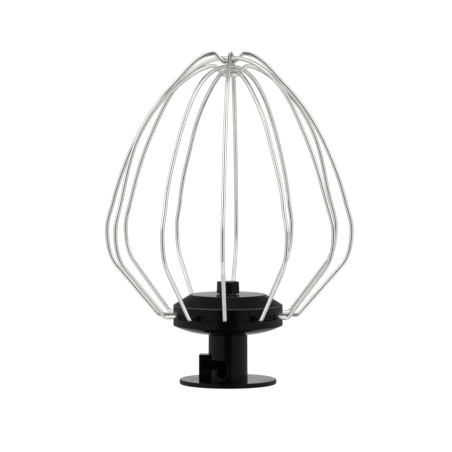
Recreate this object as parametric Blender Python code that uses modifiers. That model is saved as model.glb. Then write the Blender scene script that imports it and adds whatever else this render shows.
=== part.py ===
"""Six-wire balloon whisk attachment for a stand mixer, standing on its drip disc.

Metres, +Z up. The origin is the centre of the disc's underside, on the shaft's axis.
"""
from math import atan2, cos, pi, radians, sin, sqrt, tan

import bmesh
import bpy
from mathutils import Vector
from mathutils.geometry import interpolate_bezier

OBJECT_NAME = "whisk_attachment"

# Gaps between pieces
SEAT_GAP = 0.0003      # faces that rest on each other
CROSS_GAP = 0.0001     # wires that cross at the tip

# What the attachment fits: the mixer's shaft and its cross pin
SHAFT_DIAMETER = 0.0127
SHAFT_FIT = 0.00015
PIN_DIAMETER = 0.0040
PIN_FIT = 0.0002
PIN_REACH = 0.0122     # from the axis to the pin's tip

# Drive socket: tube, drip disc, pin channel and J-shaped slot
DISC_RADIUS = 0.02255
DISC_THICKNESS = 0.0022
DISC_EDGE = 0.0004
MOUTH_CHAMFER = 0.0005
TUBE_WALL = 0.0025
TUBE_DRAFT = 0.00016
TUBE_LENGTH = 0.02075  # from the disc to the shoulder under the hub
SPIGOT_WALL = 0.0017
SPIGOT_HEIGHT = 0.0072
SPIGOT_FLAT = 0.0008   # cut off each side, so that the hub can't turn
END_WALL = 0.0050
CHANNEL_WALL = 0.0015
CHANNEL_SKIN = 0.0009
CHANNEL_ROOF = 0.0024
CHANNEL_EDGE = 0.0005
CHANNEL_AZIMUTH = radians(180)
LEG_HEIGHT = 0.0071    # underside of the slot's level leg
HOOK_DEPTH = 0.0039    # from there down to the pin's seat
HOOK_SIDE_PLAY = 0.0002
HOOK_AZIMUTH = radians(254)
HOOK_CORNER = 0.0018

# Hub base: a shallow dish whose rim carries the wires
HUB_RADIUS = 0.0254
DISH_LIP = 0.0004      # flat ring round the hole for the spigot
DISH_ARC = 0.0360
RIM_HEIGHT = 0.0036
RIM_EDGE = 0.0003
POCKET_DEPTH = 0.0036

# Hub cap: a hollow cover with a sloping shoulder
CAP_RIM = 0.0055
CAP_SLOPE = 0.0050
CAP_FLAT_RADIUS = 0.01735
CAP_WALL = 0.0022
CAP_EDGE = 0.0004
CAP_BOSS_RADIUS = 0.0070

# Clamp plate over the wire ends, and the fasteners through the hub
PLATE_RADIUS = 0.0185
PLATE_THICKNESS = 0.0015
BOLT_DIAMETER = 0.0060
BOLT_HEAD_DIAMETER = 0.0100
BOLT_HEAD_HEIGHT = 0.0036
BOLT_KEY = 0.0050      # across the flats of its hexagon recess
BOLT_KEY_DEPTH = 0.0022
WASHER_DIAMETER = 0.0110
WASHER_THICKNESS = 0.0012
WASHER_SPLIT = 0.0010
NUT_FLATS = 0.0095
NUT_DRAFT = 0.0002
NUT_HEIGHT = 0.0056
NUT_TOP_WALL = 0.0016
NUT_AZIMUTH = radians(-9)

# Wire cage
WIRE_DIAMETER = 0.0019
NOTCH_SIDE = 0.00025
HOOK_RADIUS = 0.0155   # where a wire's end turns down into its pocket
HOOK_LENGTH = 0.0040
STUB_BEND = 0.0020
LEG_START = 0.0070     # how far outside the hub the wire turns up
LEG_BEND = 0.0024
CAGE_RADIUS = 0.0565
CAGE_WAIST = 0.0393    # from the stubs up to the widest place
CAGE_TOP = 0.1208      # from the stubs up to the highest crown
STRAND_COUNT = 12

# Shape of a strand. Leans are from upright, outwards below the waist and inwards above it.
LEG_LEAN = radians(42)         # at the bend
LEG_CHORD_LEAN = radians(40.5)
LEG_TOP_LEAN = radians(38)
LEG_PART = 0.585               # of the height from the stub to the waist
FLANK_PART = 0.165             # of the rise above the waist
FLANK_FULLNESS = 0.6           # of the cage's radius, and the rest follows the shoulder
FLANK_LEAN = radians(15)
SHOULDER_LEAN = radians(27)
CROWN_LEAN = radians(86)       # two wires from the axis, where no kink is
CROWN_SAG = 0.05               # there, in wire diameters
PEAK_LEAN = radians(84)        # on the peak beside a kink
KINK_LEAN = radians(130)       # where the wire goes down fastest
KINK_RADIUS_PART = 0.60        # of the peak's radius
KINK_DEPTH_PART = 0.68         # of the kink's depth
KINK_FLAT = 0.8                # half width of the kink's flat bottom, in wire diameters
SWAY_CHANGE = 0.3              # of the rise, where a strand's sway has gone from its waist's to its shoulder's

# Heights that follow from the sizes above
BORE_RADIUS = SHAFT_DIAMETER / 2 + SHAFT_FIT
TUBE_RADIUS = BORE_RADIUS + TUBE_WALL
SPIGOT_RADIUS = BORE_RADIUS + SPIGOT_WALL
HUB_HOLE = SPIGOT_RADIUS + SEAT_GAP
DISH_FLAT_RADIUS = HUB_HOLE + DISH_LIP
SHOULDER_Z = DISC_THICKNESS + TUBE_LENGTH
SPIGOT_TOP = SHOULDER_Z + SPIGOT_HEIGHT
BORE_TOP = SPIGOT_TOP - END_WALL
DISH_BOTTOM = SHOULDER_Z + SEAT_GAP
DISH_RISE = DISH_ARC - sqrt(DISH_ARC ** 2 - (HUB_RADIUS - DISH_FLAT_RADIUS) ** 2)
RIM_BOTTOM = DISH_BOTTOM + DISH_RISE
BASE_TOP = RIM_BOTTOM + RIM_HEIGHT
CAP_BOTTOM = BASE_TOP + SEAT_GAP
CAP_SHOULDER = CAP_BOTTOM + CAP_RIM
CAP_TOP = CAP_SHOULDER + CAP_SLOPE
STUB_Z = BASE_TOP + SEAT_GAP + WIRE_DIAMETER / 2
PLATE_BOTTOM = STUB_Z + WIRE_DIAMETER / 2 + SEAT_GAP
PLATE_TOP = PLATE_BOTTOM + PLATE_THICKNESS
NUT_BOTTOM = CAP_TOP + SEAT_GAP
NUT_TOP = NUT_BOTTOM + NUT_HEIGHT
BOLT_HOLE = BOLT_DIAMETER / 2 + SEAT_GAP
WASHER_TOP = BORE_TOP - SEAT_GAP
BOLT_SEAT = WASHER_TOP - WASHER_THICKNESS - SEAT_GAP

# Each loop: its azimuth and level in the crossing, then its shoulder and its brow, in parts of
# the cage's radius and of the rise from the waist. A kinked loop has a peak each side of a dip
# that takes it under its neighbours: the peak's radius and its height over the highest crown,
# in wire diameters. Hand-bent wire springs a little: a loop's crown drifts toward +X, and each of
# its two strands sways toward +X at its waist and at its shoulder, all in wire diameters.
LOOPS = [
    {"azimuth": 0, "level": 2, "shoulder": (0.740, 0.54), "brow": (0.451, 0.825), "brow_lean": 44,
     "peak": (3.37, 0.05), "drift": 0.21, "sway": ((0.36, 0.51), (0.15, 0.05))},
    {"azimuth": 30, "level": 5, "shoulder": (0.788, 0.59), "brow": (0.515, 0.855), "brow_lean": 50,
     "peak": (4.32, -3.0), "drift": 0.63, "sway": ((0.45, 0.19), (-0.48, -0.53))},
    {"azimuth": 60, "level": 3, "shoulder": (0.720, 0.59), "brow": (0.442, 0.885), "brow_lean": 48,
     "peak": None, "drift": 0.37, "sway": ((0.10, 0.38), (0.62, 0.12))},
    {"azimuth": 90, "level": 0, "shoulder": (0.745, 0.545), "brow": (0.460, 0.850), "brow_lean": 46,
     "peak": None, "drift": 0.74, "sway": ((0.78, 0.82), (0.08, 0.22))},
    {"azimuth": 120, "level": 4, "shoulder": (0.662, 0.60), "brow": (0.354, 0.885), "brow_lean": 48,
     "peak": None, "drift": 0.63, "sway": ((0.75, 0.47), (0.08, 0.48))},
    {"azimuth": 150, "level": 1, "shoulder": (0.745, 0.55), "brow": (0.469, 0.858), "brow_lean": 46,
     "peak": None, "drift": 0.21, "sway": ((-0.54, -0.44), (0.0, -0.28))},
]

BLACK_PLASTIC = (0.012, 0.012, 0.013)
POLISHED_STEEL = (0.72, 0.72, 0.71)
ZINC_PLATE = (0.45, 0.46, 0.47)


def new_collection(name):
    found = bpy.data.collections.new(name)
    bpy.context.scene.collection.children.link(found)
    return found


def clear_scene():
    for old in list(bpy.data.objects):
        bpy.data.objects.remove(old, do_unlink=True)


def principled(name, color, roughness, metallic):
    material = bpy.data.materials.new(name)
    material.use_nodes = True
    shader = material.node_tree.nodes["Principled BSDF"]
    shader.inputs["Base Color"].default_value = (*color, 1)
    shader.inputs["Roughness"].default_value = roughness
    shader.inputs["Metallic"].default_value = metallic
    return material


def plastic(name):
    return principled(name, BLACK_PLASTIC, 0.32, 0.0)


def steel(name, color=POLISHED_STEEL, roughness=0.14):
    return principled(name, color, roughness, 1.0)


def add_object(name, data, collection):
    obj = bpy.data.objects.new(name, data)
    collection.objects.link(obj)
    return obj


def smooth(mesh, angle=radians(35)):
    mesh.shade_smooth()
    mesh.set_sharp_from_angle(angle=angle)


def turned(name, profile, collection, steps, closed=True):
    """A profile of (radius, height) turned about the axis. It runs down its outer side."""
    mesh = bpy.data.meshes.new(name)
    edges = [(i, i + 1) for i in range(len(profile) - 1)]
    if closed:
        edges.append((len(profile) - 1, 0))
    mesh.from_pydata([(r, 0, z) for r, z in profile], edges, [])
    obj = add_object(name, mesh, collection)
    screw = obj.modifiers.new("turn", "SCREW")
    screw.steps = steps
    screw.render_steps = steps
    screw.use_merge_vertices = True
    screw.merge_threshold = 0.00001
    return obj


def mesh_of(obj, collection):
    """The object as a plain mesh object of the same name and place, with its caps welded."""
    name = obj.name
    bpy.context.view_layer.update()
    evaluated = obj.evaluated_get(bpy.context.evaluated_depsgraph_get())
    mesh = bpy.data.meshes.new_from_object(evaluated)
    welded = bmesh.new()
    welded.from_mesh(mesh)
    bmesh.ops.remove_doubles(welded, verts=welded.verts, dist=0.000001)
    bmesh.ops.recalc_face_normals(welded, faces=welded.faces)
    welded.to_mesh(mesh)
    welded.free()
    world = obj.matrix_world.copy()
    bpy.data.objects.remove(obj, do_unlink=True)
    plain = add_object(name, mesh, collection)
    plain.matrix_world = world
    return plain


def flat_plate(name, outline, thickness, collection):
    """A flat outline, extruded to both sides of its plane."""
    curve = bpy.data.curves.new(name, "CURVE")
    curve.dimensions = "2D"
    curve.fill_mode = "BOTH"
    curve.extrude = thickness / 2
    spline = curve.splines.new("POLY")
    spline.points.add(len(outline) - 1)
    for point, (x, y) in zip(spline.points, outline):
        point.co = (x, y, 0, 1)
    spline.use_cyclic_u = True
    return add_object(name, curve, collection)


def as_helper(obj):
    """Marks an object that only cuts or joins another."""
    obj.hide_render = True
    obj.display_type = "WIRE"
    return obj


def box(name, low, high, collection):
    size = Vector(high) - Vector(low)
    mesh = bpy.data.meshes.new(name)
    cube = bmesh.new()
    bmesh.ops.create_cube(cube, size=1)
    bmesh.ops.scale(cube, vec=size, verts=cube.verts)
    bmesh.ops.translate(cube, vec=(Vector(high) + Vector(low)) / 2, verts=cube.verts)
    cube.to_mesh(mesh)
    cube.free()
    return add_object(name, mesh, collection)


def combine(obj, tool, operation):
    boolean = obj.modifiers.new(tool.name, "BOOLEAN")
    boolean.operation = operation
    boolean.solver = "EXACT"
    boolean.object = as_helper(tool)


def bevel(obj, width, segments=2, angle=radians(40)):
    rounding = obj.modifiers.new("edges", "BEVEL")
    rounding.width = width
    rounding.segments = segments
    rounding.limit_method = "ANGLE"
    rounding.angle_limit = angle


def arc(center, radius, start, end, steps):
    """Points along an arc, both ends included."""
    cx, cy = center
    angles = [start + (end - start) * i / steps for i in range(steps + 1)]
    return [(cx + radius * cos(a), cy + radius * sin(a)) for a in angles]


def hexagon(flats, turn=0.0):
    corner = flats / 2 / cos(pi / 6)
    return [(corner * cos(turn + pi / 3 * i), corner * sin(turn + pi / 3 * i)) for i in range(6)]


def sector(inner, outer, start, end, steps):
    return arc((0, 0), outer, start, end, steps) + arc((0, 0), inner, end, start, steps)


def hook_outline():
    """The slot's hook in its own plane: across it, and up from the disc's underside."""
    half = PIN_DIAMETER / 2 + PIN_FIT + HOOK_SIDE_PLAY
    bottom = LEG_HEIGHT - HOOK_DEPTH
    top = LEG_HEIGHT + PIN_DIAMETER + PIN_FIT
    side = half - HOOK_CORNER
    points = arc((-side, bottom + HOOK_CORNER), HOOK_CORNER, pi, 1.5 * pi, 5)
    points += arc((side, bottom + HOOK_CORNER), HOOK_CORNER, 1.5 * pi, 2 * pi, 5)
    points += arc((side, top - HOOK_CORNER), HOOK_CORNER, 0, pi / 2, 5)
    points.append((-half, top))
    return points


def drive_socket(parts, cutters):
    profile = [
        (BOLT_HOLE, SPIGOT_TOP),
        (SPIGOT_RADIUS, SPIGOT_TOP),
        (SPIGOT_RADIUS, SHOULDER_Z),
        (TUBE_RADIUS, SHOULDER_Z),
        (TUBE_RADIUS + TUBE_DRAFT, DISC_THICKNESS),
        (DISC_RADIUS - DISC_EDGE, DISC_THICKNESS),
        (DISC_RADIUS, DISC_THICKNESS - DISC_EDGE),
        (DISC_RADIUS, DISC_EDGE),
        (DISC_RADIUS - DISC_EDGE, 0),
        (BORE_RADIUS + MOUTH_CHAMFER, 0),
        (BORE_RADIUS, MOUTH_CHAMFER),
        (BORE_RADIUS, BORE_TOP),
        (BOLT_HOLE, BORE_TOP),
    ]
    socket = turned("drive_socket", profile, parts, 64)

    slot_top = LEG_HEIGHT + PIN_DIAMETER + PIN_FIT
    half_channel = PIN_DIAMETER / 2 + PIN_FIT
    channel_reach = PIN_REACH + SEAT_GAP
    block_half = half_channel + CHANNEL_WALL
    block_out = channel_reach + CHANNEL_SKIN
    inside = BORE_RADIUS + TUBE_WALL / 3

    block = box("channel_block", (inside, -block_half, DISC_THICKNESS / 2),
                (block_out, block_half, slot_top + CHANNEL_ROOF), cutters)
    bevel(block, CHANNEL_EDGE)
    block.rotation_euler.z = CHANNEL_AZIMUTH
    combine(socket, block, "UNION")

    channel = box("pin_channel", (BORE_RADIUS / 2, -half_channel, -DISC_THICKNESS),
                  (channel_reach, half_channel, slot_top), cutters)
    channel.rotation_euler.z = CHANNEL_AZIMUTH
    combine(socket, channel, "DIFFERENCE")

    leg_height = slot_top - LEG_HEIGHT
    leg = flat_plate("slot_leg", sector(BORE_RADIUS / 2, channel_reach, CHANNEL_AZIMUTH, HOOK_AZIMUTH, 16),
                     leg_height, cutters)
    leg.location.z = LEG_HEIGHT + leg_height / 2
    combine(socket, mesh_of(leg, cutters), "DIFFERENCE")

    reach = 2 * TUBE_WALL
    hook = flat_plate("slot_hook", hook_outline(), 2 * reach, cutters)
    hook.rotation_euler = (pi / 2, 0, HOOK_AZIMUTH + pi / 2)
    middle = TUBE_RADIUS
    hook.location = (middle * cos(HOOK_AZIMUTH), middle * sin(HOOK_AZIMUTH), 0)
    combine(socket, mesh_of(hook, cutters), "DIFFERENCE")

    flat = SPIGOT_RADIUS - SPIGOT_FLAT
    for side in (1, -1):
        near, far = sorted((side * flat, side * 2 * SPIGOT_RADIUS))
        shave = box(f"spigot_flat_{side}", (-SPIGOT_RADIUS * 1.5, near, SHOULDER_Z),
                    (SPIGOT_RADIUS * 1.5, far, SPIGOT_TOP + END_WALL), cutters)
        combine(socket, shave, "DIFFERENCE")
    return socket


def hub_base(parts, cutters):
    outer_angle = atan2(DISH_RISE - DISH_ARC, HUB_RADIUS - DISH_FLAT_RADIUS)
    underside = arc((DISH_FLAT_RADIUS, DISH_BOTTOM + DISH_ARC), DISH_ARC, outer_angle, -pi / 2, 8)
    profile = [
        (HUB_HOLE, BASE_TOP),
        (HUB_RADIUS - RIM_EDGE, BASE_TOP),
        (HUB_RADIUS, BASE_TOP - RIM_EDGE),
        *underside,
        (HUB_HOLE, DISH_BOTTOM),
    ]
    base = turned("hub_base", profile, parts, 72)

    # The key flats stand in the hole, where the spigot's own flats leave room for them.
    flat = SPIGOT_RADIUS - SPIGOT_FLAT + SEAT_GAP
    for side in (1, -1):
        near, far = sorted((side * flat, side * (HUB_HOLE + DISH_LIP)))
        key = box(f"hub_key_{side}", (-HUB_HOLE / 2, near, DISH_BOTTOM), (HUB_HOLE / 2, far, BASE_TOP), cutters)
        combine(base, key, "UNION")

    pockets = wire_row("wire_pockets", cutters, pocket_shape)
    combine(base, pockets, "DIFFERENCE")
    return base


def pocket_shape(mesh):
    """One round pocket at +X for a wire's turned-down end."""
    depth = POCKET_DEPTH + WIRE_DIAMETER
    radius = WIRE_DIAMETER / 2 + SEAT_GAP
    made = bmesh.ops.create_cone(mesh, cap_ends=True, segments=12, radius1=radius, radius2=radius, depth=depth)
    middle = BASE_TOP - POCKET_DEPTH + depth / 2
    bmesh.ops.translate(mesh, vec=(HOOK_RADIUS, 0, middle), verts=made["verts"])
    return made["verts"]


def notch_shape(mesh):
    """One notch at +X in the cap's rim, open below, for a wire's level stub."""
    width = WIRE_DIAMETER + 2 * NOTCH_SIDE
    low = CAP_BOTTOM - WIRE_DIAMETER
    high = PLATE_BOTTOM
    inner = HUB_RADIUS - 2 * CAP_WALL
    outer = HUB_RADIUS + CAP_WALL
    made = bmesh.ops.create_cube(mesh, size=1)
    bmesh.ops.scale(mesh, vec=(outer - inner, width, high - low), verts=made["verts"])
    bmesh.ops.translate(mesh, vec=((outer + inner) / 2, 0, (low + high) / 2), verts=made["verts"])
    return made["verts"]


def wire_row(name, collection, shape):
    """One cutter with a copy of a shape at every strand."""
    mesh = bpy.data.meshes.new(name)
    row = bmesh.new()
    for i in range(STRAND_COUNT):
        verts = shape(row)
        turn = 2 * pi * i / STRAND_COUNT
        for vert in verts:
            x, y, z = vert.co
            vert.co = (x * cos(turn) - y * sin(turn), x * sin(turn) + y * cos(turn), z)
    row.to_mesh(mesh)
    row.free()
    return add_object(name, mesh, collection)


def hub_cap(parts, cutters):
    slope_run = HUB_RADIUS - CAP_FLAT_RADIUS
    slope = sqrt(slope_run ** 2 + CAP_SLOPE ** 2)
    inner_rim = HUB_RADIUS - CAP_WALL
    # The sloping wall keeps its thickness, so the inner corners lie on a line beside the outer slope.
    drop = CAP_WALL * slope / slope_run
    ceiling = CAP_TOP - CAP_WALL

    def slope_inside(radius):
        return CAP_SHOULDER + (HUB_RADIUS - radius) * CAP_SLOPE / slope_run - drop

    inner_flat = HUB_RADIUS - (ceiling + drop - CAP_SHOULDER) * slope_run / CAP_SLOPE
    profile = [
        (BOLT_HOLE, CAP_TOP),
        (CAP_FLAT_RADIUS - CAP_EDGE, CAP_TOP),
        (CAP_FLAT_RADIUS + CAP_EDGE * slope_run / slope, CAP_TOP - CAP_EDGE * CAP_SLOPE / slope),
        (HUB_RADIUS - CAP_EDGE * slope_run / slope, CAP_SHOULDER + CAP_EDGE * CAP_SLOPE / slope),
        (HUB_RADIUS, CAP_SHOULDER - CAP_EDGE),
        (HUB_RADIUS, CAP_BOTTOM),
        (inner_rim, CAP_BOTTOM),
        (inner_rim, slope_inside(inner_rim)),
        (inner_flat, ceiling),
        (CAP_BOSS_RADIUS, ceiling),
        (CAP_BOSS_RADIUS, PLATE_TOP + SEAT_GAP),
        (BOLT_HOLE, PLATE_TOP + SEAT_GAP),
    ]
    cap = turned("hub_cap", profile, parts, 72)
    combine(cap, wire_row("wire_notches", cutters, notch_shape), "DIFFERENCE")
    return cap


def clamp_plate(parts):
    profile = [
        (BOLT_HOLE, PLATE_TOP),
        (PLATE_RADIUS, PLATE_TOP),
        (PLATE_RADIUS, PLATE_BOTTOM),
        (BOLT_HOLE, PLATE_BOTTOM),
    ]
    return turned("wire_clamp_plate", profile, parts, 48)


def clamp_bolt(parts, cutters):
    radius = BOLT_DIAMETER / 2
    head = BOLT_HEAD_DIAMETER / 2
    head_bottom = BOLT_SEAT - BOLT_HEAD_HEIGHT
    tip = NUT_TOP - NUT_TOP_WALL - SEAT_GAP
    chamfer = radius / 6
    profile = [
        (0, tip),
        (radius - chamfer, tip),
        (radius, tip - chamfer),
        (radius, BOLT_SEAT),
        (head, BOLT_SEAT),
        (head, head_bottom + chamfer),
        (head - chamfer, head_bottom),
        (0, head_bottom),
    ]
    bolt = turned("clamp_bolt", profile, parts, 32, closed=False)
    recess = flat_plate("bolt_key_recess", hexagon(BOLT_KEY), 2 * BOLT_KEY_DEPTH, cutters)
    recess.location.z = head_bottom
    combine(bolt, mesh_of(recess, cutters), "DIFFERENCE")
    return bolt


def lock_washer(parts, cutters):
    outer = WASHER_DIAMETER / 2
    profile = [
        (BOLT_HOLE, WASHER_TOP),
        (outer, WASHER_TOP),
        (outer, WASHER_TOP - WASHER_THICKNESS),
        (BOLT_HOLE, WASHER_TOP - WASHER_THICKNESS),
    ]
    washer = turned("lock_washer", profile, parts, 32)
    reach = WASHER_THICKNESS
    split = box("washer_split", (0, -WASHER_SPLIT / 2, -reach), (2 * outer, WASHER_SPLIT / 2, reach), cutters)
    split.location.z = WASHER_TOP - WASHER_THICKNESS / 2
    combine(washer, split, "DIFFERENCE")
    return washer


def cap_nut(parts, cutters):
    corner = 1 / cos(pi / 6)
    mesh = bpy.data.meshes.new("cap_nut")
    hexagonal = bmesh.new()
    bmesh.ops.create_cone(hexagonal, cap_ends=True, segments=6, radius1=NUT_FLATS / 2 * corner,
                          radius2=(NUT_FLATS / 2 - NUT_DRAFT) * corner, depth=NUT_HEIGHT)
    hexagonal.to_mesh(mesh)
    hexagonal.free()
    nut = add_object("cap_nut", mesh, parts)
    nut.location.z = NUT_BOTTOM + NUT_HEIGHT / 2
    # A cone primitive has its first corner on +Y.
    nut.rotation_euler.z = NUT_AZIMUTH - pi / 2
    thread_top = NUT_TOP - NUT_TOP_WALL
    thread = turned("nut_thread", [(0, thread_top), (BOLT_HOLE, thread_top), (BOLT_HOLE, CAP_SHOULDER),
                                   (0, CAP_SHOULDER)], cutters, 32, closed=False)
    combine(nut, thread, "DIFFERENCE")
    return nut


def rounded_corner(before, corner, after, radius, steps):
    """Points of the arc that rounds a corner of a path in the loop's plane."""
    back = (before - corner).normalized()
    ahead = (after - corner).normalized()
    opening = back.angle(ahead)
    reach = radius / tan(opening / 2)
    center = corner + (back + ahead).normalized() * radius / sin(opening / 2)
    start = corner + back * reach - center
    end = corner + ahead * reach - center
    turn = start.angle(end)
    return [center + (start * sin(turn * (1 - t)) + end * sin(turn * t)) / sin(turn)
            for t in (i / steps for i in range(steps + 1))]


def smooth_run(stations, counts):
    """A smooth path through (radius, height, lean from vertical) stations."""
    points = []
    for (r0, z0, lean0), (r1, z1, lean1), count in zip(stations, stations[1:], counts):
        start = Vector((r0, z0, 0))
        end = Vector((r1, z1, 0))
        handle = (end - start).length / (3 * cos((lean1 - lean0) / 4) ** 2)
        first = start + handle * Vector((sin(lean0), cos(lean0), 0))
        second = end - handle * Vector((sin(lean1), cos(lean1), 0))
        points += interpolate_bezier(start, first, second, end, count + 1)[:-1]
    return points + [end]


def strand_path(loop):
    """One strand of a loop, from its end inside the hub up to its crown, as (radius, height)."""
    corner_r = HUB_RADIUS + LEG_START
    foot = Vector((HOOK_RADIUS, STUB_Z - HOOK_LENGTH, 0))
    turn_in = Vector((HOOK_RADIUS, STUB_Z, 0))
    turn_up = Vector((corner_r, STUB_Z, 0))

    waist = STUB_Z + CAGE_WAIST
    top = STUB_Z + CAGE_TOP
    crown = top - loop["level"] * (WIRE_DIAMETER + CROSS_GAP)
    peak_r, peak_height = [WIRE_DIAMETER * size for size in loop["peak"] or (0, 0)]
    summit = top + peak_height if loop["peak"] else crown
    rise = summit - waist
    leg_rise = CAGE_WAIST * LEG_PART
    leg_top = (corner_r + leg_rise * tan(LEG_CHORD_LEAN), STUB_Z + leg_rise)
    shoulder_part, shoulder_height = loop["shoulder"]
    brow_part, brow_height = loop["brow"]
    flank_part = FLANK_FULLNESS + (1 - FLANK_FULLNESS) * sqrt(shoulder_part)
    stations = [
        (*leg_top, LEG_TOP_LEAN),
        (CAGE_RADIUS, waist, 0),
        (CAGE_RADIUS * flank_part, waist + rise * FLANK_PART, -FLANK_LEAN),
        (CAGE_RADIUS * shoulder_part, waist + rise * shoulder_height, -SHOULDER_LEAN),
        (CAGE_RADIUS * brow_part, waist + rise * brow_height, -radians(loop["brow_lean"])),
    ]
    counts = [6, 3, 5, 4]
    if loop["peak"]:
        stations += [
            (peak_r + WIRE_DIAMETER / 2, summit, -PEAK_LEAN),
            (peak_r * KINK_RADIUS_PART, summit - (summit - crown) * KINK_DEPTH_PART, -KINK_LEAN),
            (WIRE_DIAMETER * KINK_FLAT, crown, -pi / 2),
            (0, crown, -pi / 2),
        ]
        counts += [4, 4, 4, 1]
    else:
        stations += [(2 * WIRE_DIAMETER, crown - WIRE_DIAMETER * CROWN_SAG, -CROWN_LEAN), (0, crown, -pi / 2)]
        counts += [5, 1]

    leg = smooth_run(stations, counts)
    path = [foot]
    path += rounded_corner(foot, turn_in, turn_up, STUB_BEND, 4)
    path += rounded_corner(turn_in, turn_up, leg[0], LEG_BEND, 4)
    return path + leg, waist, crown


def wire_loop(number, loop, parts):
    strand, waist, crown = strand_path(loop)
    azimuth = radians(loop["azimuth"])

    def place(side, point, sway):
        rising = min(max(0, (point.y - STUB_Z) / CAGE_WAIST), 1)
        height = min(max(0, (point.y - waist) / (crown - waist)), 1)
        at_waist, at_shoulder = sway
        change = min(height / SWAY_CHANGE, 1)
        swayed = at_waist + (at_shoulder - at_waist) * change ** 2 * (3 - 2 * change)
        aside = swayed * sin(rising * pi / 2) * (1 - height ** 3) + loop["drift"] * height ** 3
        x = side * point.x * cos(azimuth) + aside * WIRE_DIAMETER
        return (x, side * point.x * sin(azimuth), point.y)

    first_sway, second_sway = loop["sway"]
    points = [place(1, point, first_sway) for point in strand]
    points += [place(-1, point, second_sway) for point in reversed(strand[:-1])]
    name = f"wire_loop_{number}"
    curve = bpy.data.curves.new(name, "CURVE")
    curve.dimensions = "3D"
    curve.bevel_depth = WIRE_DIAMETER / 2
    curve.bevel_resolution = 2
    curve.use_fill_caps = True
    spline = curve.splines.new("POLY")
    spline.points.add(len(points) - 1)
    for knot, point in zip(spline.points, points):
        knot.co = (*point, 1)
    return mesh_of(add_object(name, curve, parts), parts)


def build():
    clear_scene()
    parts = new_collection(OBJECT_NAME)
    cutters = new_collection("cutters")
    made = {
        drive_socket(parts, cutters): plastic("socket_plastic"),
        hub_base(parts, cutters): plastic("base_plastic"),
        hub_cap(parts, cutters): plastic("cap_plastic"),
        cap_nut(parts, cutters): plastic("nut_plastic"),
        clamp_plate(parts): steel("plate_steel", ZINC_PLATE, 0.30),
        clamp_bolt(parts, cutters): steel("bolt_steel", ZINC_PLATE, 0.25),
        lock_washer(parts, cutters): steel("washer_steel", ZINC_PLATE, 0.30),
    }
    for number, loop in enumerate(LOOPS, 1):
        made[wire_loop(number, loop, parts)] = steel(f"wire_steel_{number}")
    for obj, material in made.items():
        obj.data.materials.append(material)
        if obj.data.polygons:
            smooth(obj.data)


build()
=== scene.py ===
from math import atan2, cos, pi, radians, sin, sqrt, tan

import bmesh
import bpy
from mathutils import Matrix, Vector
from mathutils.geometry import interpolate_bezier


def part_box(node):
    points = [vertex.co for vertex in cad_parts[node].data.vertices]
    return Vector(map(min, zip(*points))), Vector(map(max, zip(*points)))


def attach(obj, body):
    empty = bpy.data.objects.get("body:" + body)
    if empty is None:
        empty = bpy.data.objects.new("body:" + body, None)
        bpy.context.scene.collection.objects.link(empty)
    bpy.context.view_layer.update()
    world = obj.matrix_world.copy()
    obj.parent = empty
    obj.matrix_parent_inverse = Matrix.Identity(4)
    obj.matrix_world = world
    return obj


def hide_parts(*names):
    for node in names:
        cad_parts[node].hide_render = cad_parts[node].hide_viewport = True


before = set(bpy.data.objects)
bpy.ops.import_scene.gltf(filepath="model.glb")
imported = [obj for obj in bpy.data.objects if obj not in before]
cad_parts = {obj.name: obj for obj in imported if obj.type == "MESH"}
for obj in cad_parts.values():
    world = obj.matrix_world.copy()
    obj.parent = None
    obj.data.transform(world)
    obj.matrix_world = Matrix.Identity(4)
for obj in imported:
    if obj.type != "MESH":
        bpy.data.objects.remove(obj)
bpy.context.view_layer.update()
print("frame loaded")

# sizes that several pieces share, in metres, as in the CAD model
seatGap = 0.0003
wireRadius = 0.00095
strandCount = 12
hubRadius = 0.0254
shoulderZ = 0.02295
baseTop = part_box("hub_base")[1].z
capBottom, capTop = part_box("hub_cap")[0].z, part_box("hub_cap")[1].z
stubZ = baseTop + seatGap + wireRadius
boltHole = 0.0033
capRim = 0.0055
weldDistance = 0.000002  # points closer than this are one
cutClear = 0.002         # how far a cutting tool stands past the faces that it opens
mostReach = 0.49         # a rounded corner takes at most this part of each side


# A node's output. Sums, products and powers of these add Math nodes.
class Signal:
    def __init__(self, tree, socket):
        self.tree = tree
        self.socket = socket

    def __add__(self, other):
        return self.tree.calculate("ADD", self, other)

    def __radd__(self, other):
        return self.tree.calculate("ADD", other, self)

    def __sub__(self, other):
        return self.tree.calculate("SUBTRACT", self, other)

    def __rsub__(self, other):
        return self.tree.calculate("SUBTRACT", other, self)

    def __mul__(self, other):
        return self.tree.calculate("MULTIPLY", self, other)

    def __rmul__(self, other):
        return self.tree.calculate("MULTIPLY", other, self)

    def __truediv__(self, other):
        return self.tree.calculate("DIVIDE", self, other)

    def __pow__(self, other):
        return self.tree.calculate("POWER", self, other)


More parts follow.
